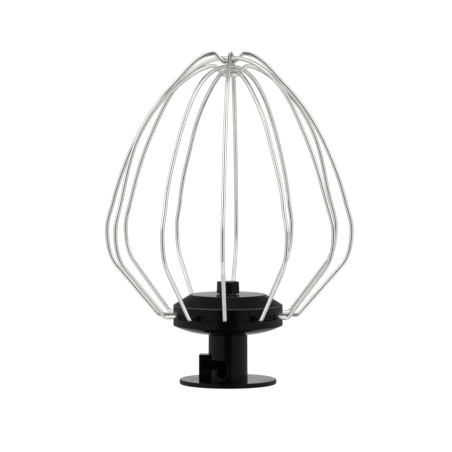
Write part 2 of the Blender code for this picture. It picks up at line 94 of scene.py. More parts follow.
class Shader:
    def __init__(self, owner):
        owner.use_nodes = True
        self.nodes = owner.node_tree.nodes
        self.links = owner.node_tree.links
        self.nodes.clear()

    # One node: its settings first, then values or signals by socket name, identifier or number.
    def node(self, kind, settings, inputs, output=0):
        made = self.nodes.new(kind)
        for name, value in settings.items():
            if name == "stops":
                self.setStops(made.color_ramp, value)
            else:
                setattr(made, name, value)
        for key, value in inputs.items():
            socket = self.find(made.inputs, key)
            if isinstance(value, Signal):
                self.links.new(value.socket, socket)
            else:
                socket.default_value = value
        return Signal(self, self.find(made.outputs, output)) if made.outputs else None

    def find(self, sockets, key):
        if isinstance(key, int):
            return sockets[key]
        for socket in sockets:
            if socket.identifier == key:
                return socket
        return sockets[key]

    def calculate(self, operation, *values):
        return self.node("ShaderNodeMath", {"operation": operation}, dict(enumerate(values)))

    def setStops(self, ramp, stops):
        first, last = stops[0], stops[-1]
        ramp.elements[0].position = first[0]
        ramp.elements[1].position = last[0]
        for place, level in stops[1:-1]:
            ramp.elements.new(place)
        for element, (place, level) in zip(ramp.elements, stops):
            element.color = (level, level, level, 1)

    def place(self):
        return self.node("ShaderNodeTexCoord", {}, {}, "Object")

    def noise(self, vector, scale, detail=3, roughness=0.5):
        inputs = {"Vector": vector, "Scale": scale, "Detail": detail, "Roughness": roughness}
        return self.node("ShaderNodeTexNoise", {}, inputs, "Fac")

    def ramp(self, value, *stops):
        return self.node("ShaderNodeValToRGB", {"stops": stops}, {"Fac": value})

    def mix(self, factor, first, second):
        inputs = {"Factor_Float": factor, "A_Color": first, "B_Color": second}
        return self.node("ShaderNodeMix", {"data_type": "RGBA"}, inputs, "Result_Color")

    def stretch(self, vector, scale, location=(0, 0, 0)):
        return self.node("ShaderNodeMapping", {}, {"Vector": vector, "Scale": scale, "Location": location})

    def bump(self, height, strength, distance):
        return self.node("ShaderNodeBump", {}, {"Height": height, "Strength": strength, "Distance": distance})


def finishShader(name, inputs):
    material = bpy.data.materials.new(name)
    shader = Shader(material)
    surface = shader.node("ShaderNodeBsdfPrincipled", {}, inputs(shader))
    shader.node("ShaderNodeOutputMaterial", {}, {"Surface": surface})
    return material


mouldedLook = {
    "black": (0.0020, 0.0020, 0.0022, 1),
    "scuffed": (0.0065, 0.0064, 0.0062, 1),
    # light grey for the lightened edges, part rubbed wear and part painted highlight, and for the painted
    # highlight line
    "burnishedAndHighlight": (0.095, 0.095, 0.098, 1),
    "roughness": 0.20,
    "level": 0.12,
    "grainScale": 2400,
    "cloudScale": 90,
    "smearScale": 320,
    "hairScale": 3120,
    "hairStretch": (0.14, 1, 0.5),
    "hair": ((0.66, 0), (0.72, 1)),
    "hairPlaces": ((0.48, 0), (0.62, 1)),
    "scuff": ((0.50, 0), (0.70, 1)),
    # pointiness ramp for the edge lightening, which is part wear and part painted highlight
    "edge": ((0.53, 0), (0.58, 1)),
    "edgeShare": 0.22,
    "scuffShare": 0.35,
    "scratchShare": 0.25,
    "highlightLine": None,  # height of a painted highlight line round the piece
    "cloudDulls": 0.10,
    "scuffDulls": 0.07,
    "grainDulls": 0.05,
    "scratchDulls": 0.10,
    "bump": 0.35,
    "grainDepth": 0.000012,
}


# Black moulded plastic: a fine spark-eroded grain, faint scuffs, a few hairline scratches, and convex edges
# lightened toward a light grey, partly as rubbed wear and partly as a painted highlight; where the look gives
# a height, also a painted highlight line round the piece.
def mouldedPlastic(name, look, seed):
    def inputs(shader):
        place = shader.stretch(shader.place(), (1, 1, 1), (seed * 0.13, seed * 0.07, 0))
        grain = shader.noise(place, look["grainScale"], 4, 0.6)
        cloud = shader.noise(place, look["cloudScale"], 3)
        smear = shader.noise(place, look["smearScale"], 2)
        hair = shader.noise(shader.stretch(place, look["hairStretch"]), look["hairScale"], 1)
        scratch = shader.ramp(hair, *look["hair"]) * shader.ramp(cloud, *look["hairPlaces"])
        scuff = shader.ramp(cloud * 0.6 + smear * 0.4, *look["scuff"])
        # convex edges lightened toward a light grey: partly rubbed wear, partly a painted highlight on the
        # edges
        edge = shader.ramp(shader.node("ShaderNodeNewGeometry", {}, {}, "Pointiness"), *look["edge"])
        worn = scuff * look["scuffShare"] + scratch * look["scratchShare"]
        color = shader.mix(worn, look["black"], look["scuffed"])
        rubbedAndHighlight = edge * look["edgeShare"] * (0.4 + smear * 0.9)
        # a painted highlight line round the piece at one height, lightened toward the same light grey
        if look["highlightLine"]:
            z = shader.node("ShaderNodeSeparateXYZ", {}, {0: shader.place()}, "Z")
            away = shader.calculate("ABSOLUTE", z - look["highlightLine"]) / look["highlightLineWidth"]
            paintedHighlightLine = shader.ramp(away, *look["highlightLineFade"]) * (0.45 + smear * 0.9)
            rubbedAndHighlight = shader.calculate("MAXIMUM", rubbedAndHighlight, paintedHighlightLine)
        color = shader.mix(rubbedAndHighlight, color, look["burnishedAndHighlight"])
        roughness = look["roughness"] + look["cloudDulls"] * (cloud - 0.5) + look["scuffDulls"] * scuff
        roughness = roughness + look["grainDulls"] * (grain - 0.5) + look["scratchDulls"] * scratch
        height = grain * 0.8 - scratch * 0.6 + smear * 0.3
        return {
            "Base Color": color,
            "Roughness": roughness,
            "Specular IOR Level": look["level"],
            "Normal": shader.bump(height, look["bump"], look["grainDepth"]),
        }
    return finishShader(name, inputs)


wireLook = {
    "bright": (0.80, 0.80, 0.79, 1),
    "dull": (0.66, 0.66, 0.65, 1),
    "roughness": 0.045,
    "streakScale": 3600,
    "patchScale": 140,
    "speckScale": 1500,
    "dulled": ((0.45, 0), (0.68, 1)),
    "dullShare": 0.45,
    "streakShare": 0.25,
    "dullRoughens": 0.08,
    "streakRoughens": 0.07,
    "bump": 0.15,
    "streakDepth": 0.000006,
}


# Electropolished drawn wire: fine lines along it, softer patches where it has been washed and bent.
def polishedWire(name, look, seed):
    def inputs(shader):
        ring = shader.node("ShaderNodeAttribute", {"attribute_name": "ring"}, {}, "Vector")
        along = shader.node("ShaderNodeAttribute", {"attribute_name": "along"}, {}, "Fac")
        run = shader.node("ShaderNodeCombineXYZ", {}, {"Z": along * 0.02 + seed * 0.37})
        drawn = shader.node("ShaderNodeVectorMath", {"operation": "ADD"}, {0: ring, 1: run})
        streak = shader.noise(drawn, look["streakScale"], 3, 0.6)
        patch = shader.noise(shader.place(), look["patchScale"], 3)
        speck = shader.noise(shader.place(), look["speckScale"], 2)
        dull = shader.ramp(patch * 0.7 + speck * 0.3, *look["dulled"])
        greyed = dull * look["dullShare"] + streak * look["streakShare"]
        color = shader.mix(greyed, look["bright"], look["dull"])
        roughness = look["roughness"] + look["dullRoughens"] * dull + look["streakRoughens"] * (streak - 0.5)
        return {
            "Base Color": color,
            "Metallic": 1.0,
            "Roughness": roughness,
            "Normal": shader.bump(streak * 0.8 + speck * 0.2, look["bump"], look["streakDepth"]),
        }
    return finishShader(name, inputs)


platedLook = {
    "light": (0.58, 0.59, 0.60, 1),
    "dark": (0.30, 0.31, 0.33, 1),
    "roughness": 0.30,
    "turningScale": 9000,
    "wobbleScale": 500,
    "cloudScale": 260,
    "cloud": ((0.35, 0), (0.7, 1)),
    "spangleScale": 1400,
    "cloudRoughens": 0.16,
    "spangleRoughens": 0.08,
    "bump": 0.3,
    "depth": 0.00001,
}


# Zinc-plated steel: a spangled, slightly cloudy surface with marks from turning.
def platedSteel(name, look, seed):
    def inputs(shader):
        place = shader.stretch(shader.place(), (1, 1, 1), (seed * 0.09, 0, seed * 0.05))
        x = shader.node("ShaderNodeSeparateXYZ", {}, {0: shader.place()}, "X")
        y = shader.node("ShaderNodeSeparateXYZ", {}, {0: shader.place()}, "Y")
        radius = (x * x + y * y) ** 0.5
        wobble = shader.noise(place, look["wobbleScale"], 2) * 3
        turning = shader.calculate("SINE", radius * look["turningScale"] + wobble)
        cloud = shader.noise(place, look["cloudScale"], 4, 0.6)
        cells = {"Vector": place, "Scale": look["spangleScale"]}
        spangle = shader.node("ShaderNodeTexVoronoi", {}, cells, "Distance")
        color = shader.mix(shader.ramp(cloud, *look["cloud"]), look["light"], look["dark"])
        roughness = look["roughness"] + look["cloudRoughens"] * (cloud - 0.5)
        return {
            "Base Color": color,
            "Metallic": 1.0,
            "Roughness": roughness + look["spangleRoughens"] * (spangle - 0.4),
            "Normal": shader.bump(turning * 0.3 + spangle * 0.4, look["bump"], look["depth"]),
        }
    return finishShader(name, inputs)


# a painted highlight line runs round the cap's shoulder just under its corner
highlightLineDrop = 0.00012
capLook = dict(mouldedLook, highlightLine=capBottom + capRim - highlightLineDrop, highlightLineWidth=0.00030,
               highlightLineFade=((0.35, 1), (1.0, 0)))
nutLook = dict(mouldedLook, roughness=0.34, level=0.10)

socketPlastic = mouldedPlastic("socketPlastic", mouldedLook, 1)
basePlastic = mouldedPlastic("basePlastic", mouldedLook, 2)
capPlastic = mouldedPlastic("capPlastic", capLook, 3)
nutPlastic = mouldedPlastic("nutPlastic", nutLook, 4)
print("materials made")


def link(obj):
    bpy.context.scene.collection.objects.link(obj)
    return obj


# The evaluated object as a plain mesh at the origin, welded and with its faces turned outwards.
def plainCopy(obj, name, material=None, sharp=radians(32)):
    bpy.context.view_layer.update()
    evaluated = obj.evaluated_get(bpy.context.evaluated_depsgraph_get())
    mesh = bpy.data.meshes.new_from_object(evaluated)
    mesh.transform(obj.matrix_world)
    welded = bmesh.new()
    welded.from_mesh(mesh)
    bmesh.ops.remove_doubles(welded, verts=welded.verts, dist=weldDistance)
    bmesh.ops.recalc_face_normals(welded, faces=welded.faces)
    welded.to_mesh(mesh)
    welded.free()
    mesh.shade_smooth()
    mesh.set_sharp_from_angle(angle=sharp)
    bpy.data.objects.remove(obj, do_unlink=True)
    made = link(bpy.data.objects.new(name, mesh))
    if material:
        mesh.materials.clear()
        mesh.materials.append(material)
    return made


# Rounds the corners of a closed (radius, height) profile. Each point is (r, z, rounding).
def roundedProfile(corners, steps=5):
    points = []
    for i, (r, z, rounding) in enumerate(corners):
        here = Vector((r, z))
        back = Vector(corners[i - 1][:2]) - here
        ahead = Vector(corners[(i + 1) % len(corners)][:2]) - here
        if rounding <= 0:
            points.append(here)
            continue
        opening = back.angle(ahead)
        reach = min(rounding / tan(opening / 2), mostReach * back.length, mostReach * ahead.length)
        start = here + back.normalized() * reach
        end = here + ahead.normalized() * reach
        center = here + (back.normalized() + ahead.normalized()).normalized() * (reach / cos(opening / 2))
        first, last = start - center, end - center
        turn = first.angle(last)
        for k in range(steps + 1):
            t = k / steps
            points.append(center + (first * sin(turn * (1 - t)) + last * sin(turn * t)) / sin(turn))
    return points


# Turns a closed profile about the axis, straight into faces.
def turnedPiece(name, profile, steps):
    mesh = bpy.data.meshes.new(name)
    verts = []
    for i in range(steps):
        angle = 2 * pi * i / steps
        verts += [(p.x * cos(angle), p.x * sin(angle), p.y) for p in profile]
    count = len(profile)
    faces = []
    for i in range(steps):
        after = (i + 1) % steps
        for k in range(count):
            near, far = k, (k + 1) % count
            faces.append((i * count + near, after * count + near, after * count + far, i * count + far))
    mesh.from_pydata(verts, [], faces)
    mesh.validate()
    return link(bpy.data.objects.new(name, mesh))


# A flat outline pushed out to a solid between two heights.
def prism(name, outline, low, high):
    mesh = bpy.data.meshes.new(name)
    count = len(outline)
    verts = [(x, y, low) for x, y in outline] + [(x, y, high) for x, y in outline]
    faces = [tuple(reversed(range(count))), tuple(range(count, 2 * count))]
    for i in range(count):
        j = (i + 1) % count
        faces.append((i, j, count + j, count + i))
    mesh.from_pydata(verts, [], faces)
    return link(bpy.data.objects.new(name, mesh))


def rectangle(low, high):
    return [(low[0], low[1]), (high[0], low[1]), (high[0], high[1]), (low[0], high[1])]


def arc(center, radius, start, end, steps):
    angles = [start + (end - start) * i / steps for i in range(steps + 1)]
    return [(center[0] + radius * cos(a), center[1] + radius * sin(a)) for a in angles]


def combine(obj, tool, operation):
    tool.hide_render = True
    boolean = obj.modifiers.new(tool.name, "BOOLEAN")
    boolean.operation = operation
    boolean.solver = "EXACT"
    boolean.object = tool


def bevel(obj, width, segments, angle=radians(38)):
    rounding = obj.modifiers.new("edges", "BEVEL")
    rounding.width = width
    rounding.segments = segments
    rounding.limit_method = "ANGLE"
    rounding.angle_limit = angle
    rounding.miter_outer = "MITER_ARC"


# Wide faces keep their own normals, and only the rounded edges between them turn.
def evenNormals(obj):
    weighted = obj.modifiers.new("evenNormals", "WEIGHTED_NORMAL")
    weighted.mode = "FACE_AREA"
    weighted.keep_sharp = True
    return obj


def showPiece(obj, node):
    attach(obj, "root")
    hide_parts(node)


def removeTools(*tools):
    for tool in tools:
        bpy.data.objects.remove(tool, do_unlink=True)


# A small writer for node trees: nodes with settings, inputs by name or number, and links.
class GeometryTree:
    def __init__(self, name, inputs):
        self.tree = bpy.data.node_groups.new(name, "GeometryNodeTree")
        self.tree.interface.new_socket("Geometry", in_out="INPUT", socket_type="NodeSocketGeometry")
        self.tree.interface.new_socket("Geometry", in_out="OUTPUT", socket_type="NodeSocketGeometry")
        for label, kind in inputs.items():
            self.tree.interface.new_socket(label, in_out="INPUT", socket_type="NodeSocket" + kind)
        self.given = self.tree.nodes.new("NodeGroupInput")

    def node(self, kind, settings, inputs, output=0):
        made = self.tree.nodes.new(kind)
        for name, value in settings.items():
            setattr(made, name, value)
        for key, value in inputs.items():
            if isinstance(value, bpy.types.NodeSocket):
                self.tree.links.new(value, made.inputs[key])
            else:
                made.inputs[key].default_value = value
        return made.outputs[output]

    def finish(self, geometry):
        real = self.node("GeometryNodeRealizeInstances", {}, {0: geometry})
        material = self.given.outputs["Material"]
        painted = self.node("GeometryNodeSetMaterial", {}, {0: real, "Material": material})
        out = self.tree.nodes.new("NodeGroupOutput")
        self.tree.links.new(painted, out.inputs[0])
        return self.tree


def addNodes(obj, tree, values):
    modifier = obj.modifiers.new(tree.name, "NODES")
    modifier.node_group = tree
    for item in tree.interface.items_tree:
        if item.item_type == "SOCKET" and item.in_out == "INPUT" and item.name in values:
            modifier[item.identifier] = values[item.name]
    return modifier


# drive socket: tube, drip disc, pin channel and J-shaped slot
socketSizes = {
    "bore": 0.0065,
    "tube": 0.0090,
    "tubeFoot": 0.00916,
    "disc": 0.02255,
    "discThickness": 0.0022,
    "discEdge": 0.00055,
    "foot": 0.00035,
    "spigot": 0.0082,
    "spigotTop": 0.03015,
    "spigotFlat": 0.0008,
    "boreTop": 0.02515,
    "channelHalf": 0.0022,
    "channelReach": 0.0125,
    "blockHalf": 0.0037,
    "blockOut": 0.0134,
    "blockTop": 0.0137,
    "blockSink": 0.0008,
    "blockEdge": 0.0005,
    "channelAzimuth": radians(180),
    "slotLow": 0.0071,
    "slotHigh": 0.0113,
    "hookAzimuth": radians(254),
    "hookHalf": 0.0024,
    "hookLow": 0.0032,
    "hookCorner": 0.0018,
    "hookCut": 0.005,
    "lip": 0.00036,
    "lipStart": radians(26),
    "lipClear": 0.0007,
    "lipSteps": 16,
    "lipTopSteps": 20,
    "lipTurns": (12, 33, 54, 75),  # degrees round its quarter circle
    "lipInset": (0.0004, 0.0002),  # where the tool begins: deeper, and this much narrower
    "lipFlare": (0.08, 1.6),       # above the surface, in lip sizes: height, growth
    "lipReach": 0.005,
    "fineEdge": 0.0002,
    "softEdge": 0.0003,
    "boreEdge": 0.0005,
    "shaveHalf": 0.012,
    "shaveTop": 0.030,
    "rings": 30,
    "cornerSteps": 8,
    "legSteps": 24,
    "steps": 144,
}


# The hook end of the slot, as seen from outside: across it and up. Its corner by the leg is left open.
def hookOutline(size):
    half, corner, steps = size["hookHalf"], size["hookCorner"], size["cornerSteps"]
    low, high = size["hookLow"] + corner, size["slotHigh"] - corner
    outline = arc((-half + corner, low), corner, pi, 1.5 * pi, steps)
    outline += arc((half - corner, low), corner, 1.5 * pi, 2 * pi, steps)
    return outline + arc((half - corner, high), corner, 0, pi / 2, steps)


# The slot's outline on the tube, from just past the block to the hook and back.
def slotOutline(size):
    start = (size["channelAzimuth"] + size["lipStart"] - size["hookAzimuth"]) * size["tube"]
    left, right = -size["hookHalf"], size["hookHalf"] - size["hookCorner"]
    below, above = size["lipSteps"], size["lipTopSteps"]
    run = left - size["lipClear"] - start
    outline = [(start + run * i / below, size["slotLow"]) for i in range(below + 1)]
    outline.append((left, size["slotLow"]))
    outline += hookOutline(size)
    outline += [(start + (right - start) * (above - 1 - i) / above, size["slotHigh"]) for i in range(above)]
    return [Vector(point) for point in outline]


# Widens the slot's mouth along a quarter round, following the tube's own surface.
def slotLip(size):
    outline = slotOutline(size)
    ways = [(after - before).normalized() for before, after in zip(outline, outline[1:])]
    sides = [Vector((way.y, -way.x)) for way in ways]
    sides = [sides[0]] + sides + [sides[-1]]
    grow = [(a + b) / (1 + a.dot(b)) for a, b in zip(sides, sides[1:])]
    # depth under the tube's surface, and how far the outline has grown there
    lip = size["lip"]
    deeper, narrower = size["lipInset"]
    above, wider = size["lipFlare"]
    stages = [(lip + deeper, -narrower)]
    stages += [(lip * (1 - sin(radians(a))), lip * (1 - cos(radians(a)))) for a in size["lipTurns"]]
    stages += [(-above * lip, wider * lip), (-size["lipReach"], wider * lip)]
    verts = []
    for depth, growth in stages:
        for point, side in zip(outline, grow):
            place = point + side * growth
            share = (shoulderZ - place.y) / (shoulderZ - size["discThickness"])
            surface = size["tube"] + (size["tubeFoot"] - size["tube"]) * share
            angle = size["hookAzimuth"] + place.x / size["tube"]
            reach = surface - depth
            verts.append((reach * cos(angle), reach * sin(angle), place.y))
    count = len(outline)
    faces = [tuple(reversed(range(count))), tuple(range(len(verts) - count, len(verts)))]
    for stage in range(len(stages) - 1):
        under, over = stage * count, (stage + 1) * count
        for i in range(count):
            j = (i + 1) % count
            faces.append((under + i, under + j, over + j, over + i))
    mesh = bpy.data.meshes.new("slotLip")
    mesh.from_pydata(verts, [], faces)
    closed = bmesh.new()
    closed.from_mesh(mesh)
    bmesh.ops.remove_doubles(closed, verts=closed.verts, dist=0.000001)
    bmesh.ops.triangulate(closed, faces=closed.faces)
    bmesh.ops.recalc_face_normals(closed, faces=closed.faces)
    closed.to_mesh(mesh)
    closed.free()
    return link(bpy.data.objects.new("slotLip", mesh))


def socketProfile(size):
    fine, soft = size["fineEdge"], size["softEdge"]
    tubeRings = [(size["tube"] + (size["tubeFoot"] - size["tube"]) * part / size["rings"],
                  shoulderZ - (shoulderZ - size["discThickness"]) * part / size["rings"], 0)
                 for part in range(1, size["rings"])]
    return roundedProfile([
        (boltHole, size["spigotTop"], fine),
        (size["spigot"], size["spigotTop"], soft),
        (size["spigot"], shoulderZ, 0),
        (size["tube"], shoulderZ, fine),
        *tubeRings,
        (size["tubeFoot"], size["discThickness"], size["foot"]),
        (size["disc"], size["discThickness"], size["discEdge"]),
        (size["disc"], 0, size["discEdge"]),
        (size["bore"], 0, size["boreEdge"]),
        (size["bore"], size["boreTop"], soft),
        (boltHole, size["boreTop"], fine),
    ])


def makeSocket(size):
    socket = turnedPiece("socketBody", socketProfile(size), size["steps"])

    inside = size["bore"] + size["blockSink"]
    block = prism("block", rectangle((inside, -size["blockHalf"]), (size["blockOut"], size["blockHalf"])),
                  size["discThickness"] / 2, size["blockTop"])
    bevel(block, size["blockEdge"], 4)
    block.rotation_euler.z = size["channelAzimuth"]
    block = plainCopy(block, "blockTool")
    combine(socket, block, "UNION")

    channelWall = size["channelHalf"]
    channelPlan = rectangle((size["bore"] / 2, -channelWall), (size["channelReach"], channelWall))
    channel = prism("channel", channelPlan, -cutClear, size["slotHigh"])
    channel.rotation_euler.z = size["channelAzimuth"]
    combine(socket, channel, "DIFFERENCE")

    first, last, steps = size["channelAzimuth"], size["hookAzimuth"], size["legSteps"]
    legPlan = arc((0, 0), size["channelReach"], first, last, steps)
    legPlan += arc((0, 0), size["bore"] / 2, last, first, steps)
    leg = prism("slotLeg", legPlan, size["slotLow"], size["slotHigh"])
    combine(socket, leg, "DIFFERENCE")

    outline = hookOutline(size) + [(-size["hookHalf"], size["slotHigh"])]
    hook = prism("slotHook", outline, -size["hookCut"], size["hookCut"])
    hook.rotation_euler = (pi / 2, 0, last + pi / 2)
    hook.location = (size["tube"] * cos(last), size["tube"] * sin(last), 0)
    combine(socket, hook, "DIFFERENCE")

    lip = slotLip(size)
    combine(socket, lip, "DIFFERENCE")

    shaves = []
    flat = size["spigot"] - size["spigotFlat"]
    for side in (1, -1):
        near, far = sorted((side * flat, side * 2 * size["spigot"]))
        shave = prism(f"shave{side}", rectangle((-size["shaveHalf"], near), (size["shaveHalf"], far)),
                      shoulderZ, size["shaveTop"])
        combine(socket, shave, "DIFFERENCE")
        shaves.append(shave)
    piece = plainCopy(socket, "driveSocket", socketPlastic)
    removeTools(block, channel, leg, hook, lip, *shaves)
    return piece


showPiece(evenNormals(makeSocket(socketSizes)), "drive_socket")
print("drive socket made")


# hub: the dish that carries the wires, the cap over them, and their notches
hubSizes = {
    "dishFlat": 0.0089,
    "dishArc": 0.0360,
    "rimEdge": 0.0004,
    "fineEdge": 0.0002,
    "softEdge": 0.0003,
    "innerEdge": 0.0008,
    "bossEdge": 0.0006,
    "hole": 0.0085,
    "keyFlat": 0.0077,
    "keyHalf": 0.0042,
    "keySink": 0.0012,
    "keyInset": 0.00002,
    "pocketRadius": 0.00125,
    "pocketDepth": 0.0036,
    "pocketPlace": 0.0155,
    "capFlat": 0.01735,
    "capWall": 0.0022,
    "capEdge": 0.0008,
    "boss": 0.0070,
    "plateTop": stubZ + wireRadius + seatGap + 0.0015,
    "notchHalf": 0.0012,
    "notchLength": 0.0066,
    "notchTop": stubZ + wireRadius + seatGap,
    "edge": 0.00012,
    "steps": 216,
}


# A ring of upright blocks or pins: one for each wire strand.
def buildRingTree():
    tree = GeometryTree("strandRing", {
        "Count": "Int", "Radius": "Float", "Low": "Float", "High": "Float",
        "Length": "Float", "Width": "Float", "Round": "Bool", "Material": "Material"})
    given = tree.given.outputs
    height = tree.node("ShaderNodeMath", {"operation": "SUBTRACT"}, {0: given["High"], 1: given["Low"]})
    middle = tree.node("ShaderNodeMath", {"operation": "MULTIPLY_ADD"},
                       {0: height, 1: 0.5, 2: given["Low"]})
    half = tree.node("ShaderNodeMath", {"operation": "MULTIPLY"}, {0: given["Width"], 1: 0.5})
    size = tree.node("ShaderNodeCombineXYZ", {}, {"X": given["Length"], "Y": given["Width"], "Z": height})
    block = tree.node("GeometryNodeMeshCube", {}, {"Size": size})
    pin = tree.node("GeometryNodeMeshCylinder", {}, {"Vertices": 24, "Radius": half, "Depth": height})
    shape = tree.node("GeometryNodeSwitch", {"input_type": "GEOMETRY"},
                      {"Switch": given["Round"], "False": block, "True": pin})
    circle = tree.node("GeometryNodeMeshCircle", {},
                       {"Vertices": given["Count"], "Radius": given["Radius"]})
    lift = tree.node("ShaderNodeCombineXYZ", {}, {"Z": middle})
    raised = tree.node("GeometryNodeTransform", {}, {"Geometry": circle, "Translation": lift})
    index = tree.node("GeometryNodeInputIndex", {}, {})
    step = tree.node("ShaderNodeMath", {"operation": "DIVIDE"}, {0: 2 * pi, 1: given["Count"]})
    angle = tree.node("ShaderNodeMath", {"operation": "MULTIPLY"}, {0: index, 1: step})
    turn = tree.node("ShaderNodeCombineXYZ", {}, {"Z": angle})
    spin = tree.node("FunctionNodeEulerToRotation", {}, {0: turn})
    copies = tree.node("GeometryNodeInstanceOnPoints", {},
                       {"Points": raised, "Instance": shape, "Rotation": spin})
    return tree.finish(copies)


ringTree = buildRingTree()


def strandRing(name, radius, low, high, length, width, isRound, material):
    holder = link(bpy.data.objects.new(name, bpy.data.meshes.new(name)))
    values = {"Count": strandCount, "Radius": radius, "Low": low, "High": high, "Length": length,
              "Width": width, "Round": isRound, "Material": material}
    addNodes(holder, ringTree, values)
    return plainCopy(holder, name, material)


def makeBase(size):
    run = hubRadius - size["dishFlat"]
    dishBottom = shoulderZ + seatGap
    fine, inset = size["fineEdge"], size["keyInset"]
    rise = size["dishArc"] - sqrt(size["dishArc"] ** 2 - run ** 2)
    rimBottom = dishBottom + rise
    outer = atan2(rise - size["dishArc"], run)
    dish = arc((size["dishFlat"], dishBottom + size["dishArc"]), size["dishArc"], outer, -pi / 2, 28)
    corners = [
        (size["hole"], baseTop, fine),
        (hubRadius, baseTop, size["rimEdge"]),
        (hubRadius, rimBottom, size["softEdge"]),
        *[(r, z, 0) for r, z in dish[1:]],
        (size["hole"], dishBottom, fine),
    ]
    base = turnedPiece("baseBody", roundedProfile(corners), size["steps"])
    tools = []
    for side in (1, -1):
        near, far = sorted((side * size["keyFlat"], side * (size["hole"] + size["keySink"])))
        key = prism(f"key{side}", rectangle((-size["keyHalf"], near), (size["keyHalf"], far)),
                    dishBottom + inset, baseTop - inset)
        combine(base, key, "UNION")
        tools.append(key)
    across = 2 * size["pocketRadius"]
    pockets = strandRing("pockets", size["pocketPlace"], baseTop - size["pocketDepth"], baseTop + cutClear,
                         across, across, True, basePlastic)
    combine(base, pockets, "DIFFERENCE")
    bevel(base, size["edge"], 2)
    piece = plainCopy(base, "hubBase", basePlastic)
    removeTools(pockets, *tools)
    return piece


def makeCap(size):
    fine = size["fineEdge"]
    shoulder = capBottom + capRim
    run = hubRadius - size["capFlat"]
    slope = sqrt(run ** 2 + (capTop - shoulder) ** 2)
    drop = size["capWall"] * slope / run
    pitch = (capTop - shoulder) / run
    innerRim = hubRadius - size["capWall"]
    ceiling = capTop - size["capWall"]
    innerFlat = hubRadius - (ceiling + drop - shoulder) / pitch
    corners = [
        (boltHole, capTop, size["softEdge"]),
        (size["capFlat"], capTop, size["capEdge"] * 2),
        (hubRadius, shoulder, size["capEdge"]),
        (hubRadius, capBottom, fine),
        (innerRim, capBottom, fine),
        (innerRim, shoulder + (hubRadius - innerRim) * pitch - drop, size["innerEdge"]),
        (innerFlat, ceiling, size["innerEdge"]),
        (size["boss"], ceiling, size["bossEdge"]),
        (size["boss"], size["plateTop"] + seatGap, fine),
        (boltHole, size["plateTop"] + seatGap, fine),
    ]
    cap = turnedPiece("capBody", roundedProfile(corners), size["steps"])
    notches = strandRing("notches", hubRadius - size["capWall"] / 2, capBottom - cutClear, size["notchTop"],
                         size["notchLength"], 2 * size["notchHalf"], False, capPlastic)
    combine(cap, notches, "DIFFERENCE")
    bevel(cap, size["edge"], 2)
    piece = plainCopy(cap, "hubCap", capPlastic)
    removeTools(notches)
    return piece


showPiece(evenNormals(makeBase(hubSizes)), "hub_base")
showPiece(evenNormals(makeCap(hubSizes)), "hub_cap")
print("hub made")


# closed nut on the cap
nutSizes = {
    "flats": 0.0095,
    "draft": 0.0002,
    "bottom": capTop + seatGap,
    "height": 0.0056,
    "topWall": 0.0016,
    "azimuth": radians(-9),
    "cornerRounding": 0.00045,
    "cornerSteps": 6,
    "edge": 0.0003,
    "edgeAngle": radians(60),
    "threadSides": 48,
}


def makeNut(size):
    corner = size["flats"] / 2 / cos(pi / 6)
    hexagon = [Vector((corner * cos(pi / 3 * i), corner * sin(pi / 3 * i))) for i in range(6)]
    outline = roundedProfile([(p.x, p.y, size["cornerRounding"]) for p in hexagon], size["cornerSteps"])
    nut = prism("nutBody", [(p.x, p.y) for p in outline], size["bottom"], size["bottom"] + size["height"])
    slimmer = 1 - size["draft"] / (size["flats"] / 2)
    for vert in nut.data.vertices:
        if vert.co.z > size["bottom"] + size["height"] / 2:
            vert.co.x *= slimmer
            vert.co.y *= slimmer
    nut.rotation_euler.z = size["azimuth"]
    bevel(nut, size["edge"], 4, size["edgeAngle"])
    nut = plainCopy(nut, "nutSolid")
    threadTop = size["bottom"] + size["height"] - size["topWall"]
    last = size["threadSides"] - 1
    around = arc((0, 0), boltHole, 0, 2 * pi * last / size["threadSides"], last)
    thread = prism("thread", around, size["bottom"] - cutClear, threadTop)
    combine(nut, thread, "DIFFERENCE")
    piece = plainCopy(nut, "capNut", nutPlastic)
    removeTools(thread)
    return piece


showPiece(evenNormals(makeNut(nutSizes)), "cap_nut")
print("nut made")


# wire cage: six loops, each swept along its own rule-made path
cageSizes = {
    "hookRadius": 0.0155,
    "hookLength": 0.0040,
    "stubBend": 0.0020,
    "legStart": 0.0070,
    "legBend": 0.0024,
    "legLean": radians(40.5),
    "legTopLean": radians(38),
    "legPart": 0.585,
    "radius": 0.0565,
    "waist": 0.0393,
    "top": 0.1208,
    "crossGap": 0.0001,
    "flankPart": 0.165,
    "flankFullness": 0.6,
    "flankLean": radians(15),
    "shoulderLean": radians(27),
    "crownLean": radians(86),
    "crownSag": 0.05,
    "peakLean": radians(84),
    "kinkLean": radians(130),
    "kinkRadiusPart": 0.60,
    "kinkDepthPart": 0.68,
    "kinkFlat": 0.8,
    "swayChange": 0.3,
    "bendSteps": 12,
    "runSteps": 14,
    "spacing": 0.00045,
    "sides": 24,
    "sharp": radians(50),
}

